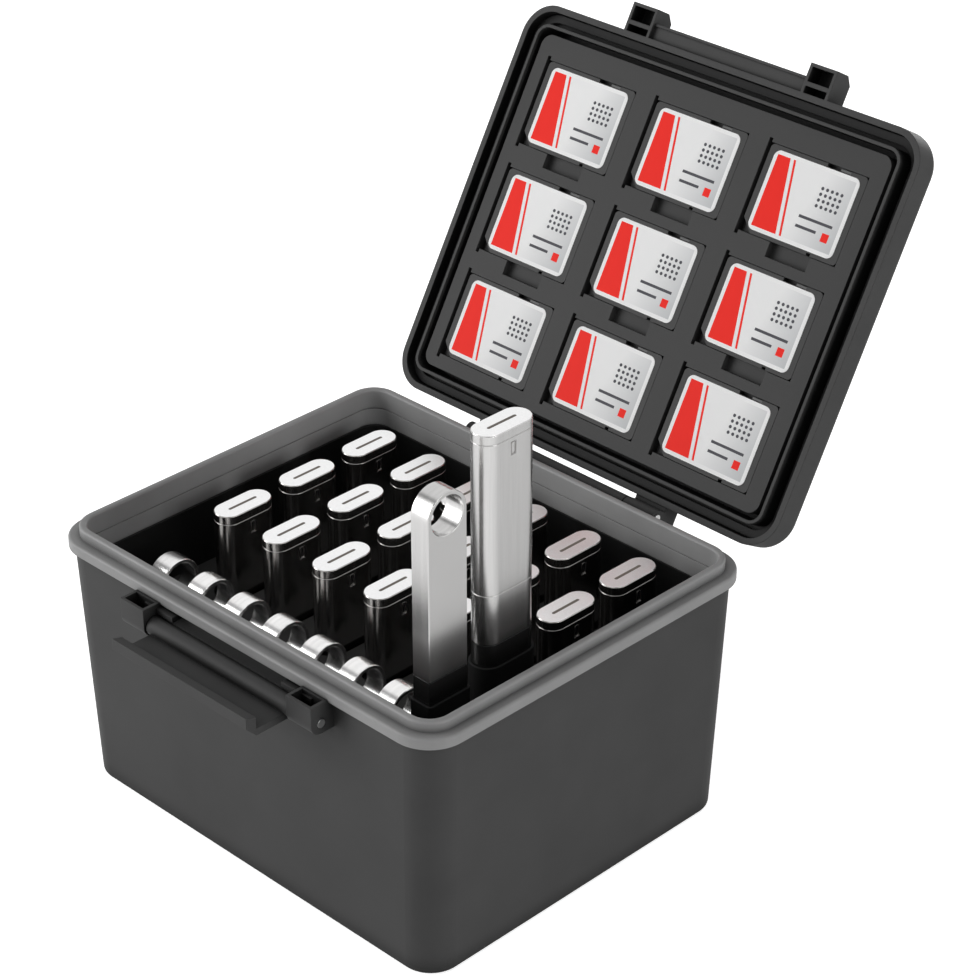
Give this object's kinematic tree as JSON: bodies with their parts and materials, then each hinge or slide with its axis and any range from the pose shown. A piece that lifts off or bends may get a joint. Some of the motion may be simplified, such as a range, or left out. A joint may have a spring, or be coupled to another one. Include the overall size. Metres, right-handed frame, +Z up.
{
  "type": "memory card case",
  "caption": "Tapered hinged case with a latch and rim collar: a lid tray of pockets holds flat memory cards and a base tray of sockets holds upright pen drives.",
  "frame": {"origin": "centre of the base's flat underside", "axes": "+Z up, +Y from the latch to the hinge, +X to the right seen from the latch"},
  "size_m": [0.14, 0.2043, 0.1784],
  "materials": {
    "case_plastic": "fine moulded grain, dark grey",
    "rim_plastic": "satin, mid grey",
    "tray_plastic": "smooth, black",
    "socket_plastic": "semi-gloss, black",
    "card_tray_plastic": "fine grain, charcoal",
    "seal_rubber": "soft, black",
    "pin_steel": "bright drawn wire",
    "drive_metal": "polished, with a black plug end",
    "card_plastic": "moulded, black"
  },
  "bodies": {
    "case": {"base_shell": "case_plastic", "rim_collar": "rim_plastic", "drive_tray": "tray_plastic", "tray_liner": "tray_plastic", "capsule_sleeves": "socket_plastic", "raised_capsule_sleeve": "socket_plastic", "ring_sleeves": "socket_plastic", "raised_ring_sleeve": "socket_plastic", "hinge_pin": "pin_steel", "latch_pin": "pin_steel"},
    "lid": {"lid_shell": "case_plastic", "lid_gasket": "seal_rubber", "card_tray": "card_tray_plastic"},
    "latch": {"latch": "case_plastic"},
    "capsule_drive_1": {"capsule_drive_1": "drive_metal"},
    "capsule_drive_2": {"capsule_drive_2": "drive_metal"},
    "capsule_drive_3": {"capsule_drive_3": "drive_metal"},
    "capsule_drive_4": {"capsule_drive_4": "drive_metal"},
    "capsule_drive_5": {"capsule_drive_5": "drive_metal"},
    "capsule_drive_6": {"capsule_drive_6": "drive_metal"},
    "capsule_drive_7": {"capsule_drive_7": "drive_metal"},
    "capsule_drive_8": {"capsule_drive_8": "drive_metal"},
    "capsule_drive_9": {"capsule_drive_9": "drive_metal"},
    "capsule_drive_10": {"capsule_drive_10": "drive_metal"},
    "capsule_drive_11": {"capsule_drive_11": "drive_metal"},
    "capsule_drive_12": {"capsule_drive_12": "drive_metal"},
    "capsule_drive_13": {"capsule_drive_13": "drive_metal"},
    "capsule_drive_14": {"capsule_drive_14": "drive_metal"},
    "capsule_drive_15": {"capsule_drive_15": "drive_metal"},
    "capsule_drive_16": {"capsule_drive_16": "drive_metal"},
    "capsule_drive_17": {"capsule_drive_17": "drive_metal"},
    "capsule_drive_18": {"capsule_drive_18": "drive_metal"},
    "ring_drive_1": {"ring_drive_1": "drive_metal"},
    "ring_drive_2": {"ring_drive_2": "drive_metal"},
    "ring_drive_3": {"ring_drive_3": "drive_metal"},
    "ring_drive_4": {"ring_drive_4": "drive_metal"},
    "ring_drive_5": {"ring_drive_5": "drive_metal"},
    "ring_drive_6": {"ring_drive_6": "drive_metal"},
    "ring_drive_7": {"ring_drive_7": "drive_metal"},
    "ring_drive_8": {"ring_drive_8": "drive_metal"},
    "memory_card_1": {"memory_card_1": "card_plastic"},
    "memory_card_2": {"memory_card_2": "card_plastic"},
    "memory_card_3": {"memory_card_3": "card_plastic"},
    "memory_card_4": {"memory_card_4": "card_plastic"},
    "memory_card_5": {"memory_card_5": "card_plastic"},
    "memory_card_6": {"memory_card_6": "card_plastic"},
    "memory_card_7": {"memory_card_7": "card_plastic"},
    "memory_card_8": {"memory_card_8": "card_plastic"},
    "memory_card_9": {"memory_card_9": "card_plastic"}
  },
  "joints": [
    {"name": "lid_hinge", "type": "hinge", "parent": "case", "child": "lid", "pos_m": [0, 0.0601, 0.0714], "axis": [1, 0, 0], "range_deg": [0, 120]},
    {"name": "latch_pivot", "type": "hinge", "parent": "case", "child": "latch", "pos_m": [0, -0.0602, 0.0657], "axis": [-1, 0, 0], "range_deg": [0, 90]},
    {"name": "capsule_slide_1", "type": "slide", "parent": "case", "child": "capsule_drive_1", "axis": [0, 0, -1], "range_m": [-0.038, 0]},
    {"name": "capsule_slide_2", "type": "slide", "parent": "case", "child": "capsule_drive_2", "axis": [0, 0, -1], "range_m": [-0.038, 0]},
    {"name": "capsule_slide_3", "type": "slide", "parent": "case", "child": "capsule_drive_3", "axis": [0, 0, -1], "range_m": [-0.038, 0]},
    {"name": "capsule_slide_4", "type": "slide", "parent": "case", "child": "capsule_drive_4", "axis": [0, 0, -1], "range_m": [-0.038, 0]},
    {"name": "capsule_slide_5", "type": "slide", "parent": "case", "child": "capsule_drive_5", "axis": [0, 0, -1], "range_m": [-0.038, 0]},
    {"name": "capsule_slide_6", "type": "slide", "parent": "case", "child": "capsule_drive_6", "axis": [0, 0, -1], "range_m": [-0.038, 0]},
    {"name": "capsule_slide_7", "type": "slide", "parent": "case", "child": "capsule_drive_7", "axis": [0, 0, -1], "range_m": [-0.038, 0]},
    {"name": "capsule_slide_8", "type": "slide", "parent": "case", "child": "capsule_drive_8", "axis": [0, 0, -1], "range_m": [-0.038, 0]},
    {"name": "capsule_slide_9", "type": "slide", "parent": "case", "child": "capsule_drive_9", "axis": [0, 0, -1], "range_m": [-0.038, 0]},
    {"name": "capsule_slide_10", "type": "slide", "parent": "case", "child": "capsule_drive_10", "axis": [0, 0, -1], "range_m": [-0.038, 0]},
    {"name": "capsule_slide_11", "type": "slide", "parent": "case", "child": "capsule_drive_11", "axis": [0, 0, -1], "range_m": [-0.038, 0]},
    {"name": "capsule_slide_12", "type": "slide", "parent": "case", "child": "capsule_drive_12", "axis": [0, 0, -1], "range_m": [-0.038, 0]},
    {"name": "capsule_slide_13", "type": "slide", "parent": "case", "child": "capsule_drive_13", "axis": [0, 0, -1], "range_m": [-0.038, 0]},
    {"name": "capsule_slide_14", "type": "slide", "parent": "case", "child": "capsule_drive_14", "axis": [0, 0, -1], "range_m": [-0.038, 0]},
    {"name": "capsule_slide_15", "type": "slide", "parent": "case", "child": "capsule_drive_15", "axis": [0, 0, -1], "range_m": [-0.038, 0]},
    {"name": "capsule_slide_16", "type": "slide", "parent": "case", "child": "capsule_drive_16", "axis": [0, 0, -1], "range_m": [-0.038, 0]},
    {"name": "capsule_slide_17", "type": "slide", "parent": "case", "child": "capsule_drive_17", "axis": [0, 0, -1], "range_m": [-0.038, 0]},
    {"name": "capsule_slide_18", "type": "slide", "parent": "case", "child": "capsule_drive_18", "axis": [0, 0, -1], "range_m": [0, 0.0615]},
    {"name": "ring_slide_1", "type": "slide", "parent": "case", "child": "ring_drive_1", "axis": [0, 0, -1], "range_m": [-0.038, 0]},
    {"name": "ring_slide_2", "type": "slide", "parent": "case", "child": "ring_drive_2", "axis": [0, 0, -1], "range_m": [-0.038, 0]},
    {"name": "ring_slide_3", "type": "slide", "parent": "case", "child": "ring_drive_3", "axis": [0, 0, -1], "range_m": [-0.038, 0]},
    {"name": "ring_slide_4", "type": "slide", "parent": "case", "child": "ring_drive_4", "axis": [0, 0, -1], "range_m": [-0.038, 0]},
    {"name": "ring_slide_5", "type": "slide", "parent": "case", "child": "ring_drive_5", "axis": [0, 0, -1], "range_m": [-0.038, 0]},
    {"name": "ring_slide_6", "type": "slide", "parent": "case", "child": "ring_drive_6", "axis": [0, 0, -1], "range_m": [-0.038, 0]},
    {"name": "ring_slide_7", "type": "slide", "parent": "case", "child": "ring_drive_7", "axis": [0, 0, -1], "range_m": [-0.038, 0]},
    {"name": "ring_slide_8", "type": "slide", "parent": "case", "child": "ring_drive_8", "axis": [0, 0, -1], "range_m": [0, 0.05395]},
    {"name": "card_lift_1", "type": "slide", "parent": "lid", "child": "memory_card_1", "axis": [0, 0.866, -0.5], "range_m": [-0.012, 0]},
    {"name": "card_lift_2", "type": "slide", "parent": "lid", "child": "memory_card_2", "axis": [0, 0.866, -0.5], "range_m": [-0.012, 0]},
    {"name": "card_lift_3", "type": "slide", "parent": "lid", "child": "memory_card_3", "axis": [0, 0.866, -0.5], "range_m": [-0.012, 0]},
    {"name": "card_lift_4", "type": "slide", "parent": "lid", "child": "memory_card_4", "axis": [0, 0.866, -0.5], "range_m": [-0.012, 0]},
    {"name": "card_lift_5", "type": "slide", "parent": "lid", "child": "memory_card_5", "axis": [0, 0.866, -0.5], "range_m": [-0.012, 0]},
    {"name": "card_lift_6", "type": "slide", "parent": "lid", "child": "memory_card_6", "axis": [0, 0.866, -0.5], "range_m": [-0.012, 0]},
    {"name": "card_lift_7", "type": "slide", "parent": "lid", "child": "memory_card_7", "axis": [0, 0.866, -0.5], "range_m": [-0.012, 0]},
    {"name": "card_lift_8", "type": "slide", "parent": "lid", "child": "memory_card_8", "axis": [0, 0.866, -0.5], "range_m": [-0.012, 0]},
    {"name": "card_lift_9", "type": "slide", "parent": "lid", "child": "memory_card_9", "axis": [0, 0.866, -0.5], "range_m": [-0.012, 0]}
  ],
  "couplings": [
    {"joint": "capsule_slide_18", "follows": "lid_hinge", "m_per_rad": 0.02936},
    {"joint": "ring_slide_8", "follows": "lid_hinge", "m_per_rad": 0.02575}
  ]
}
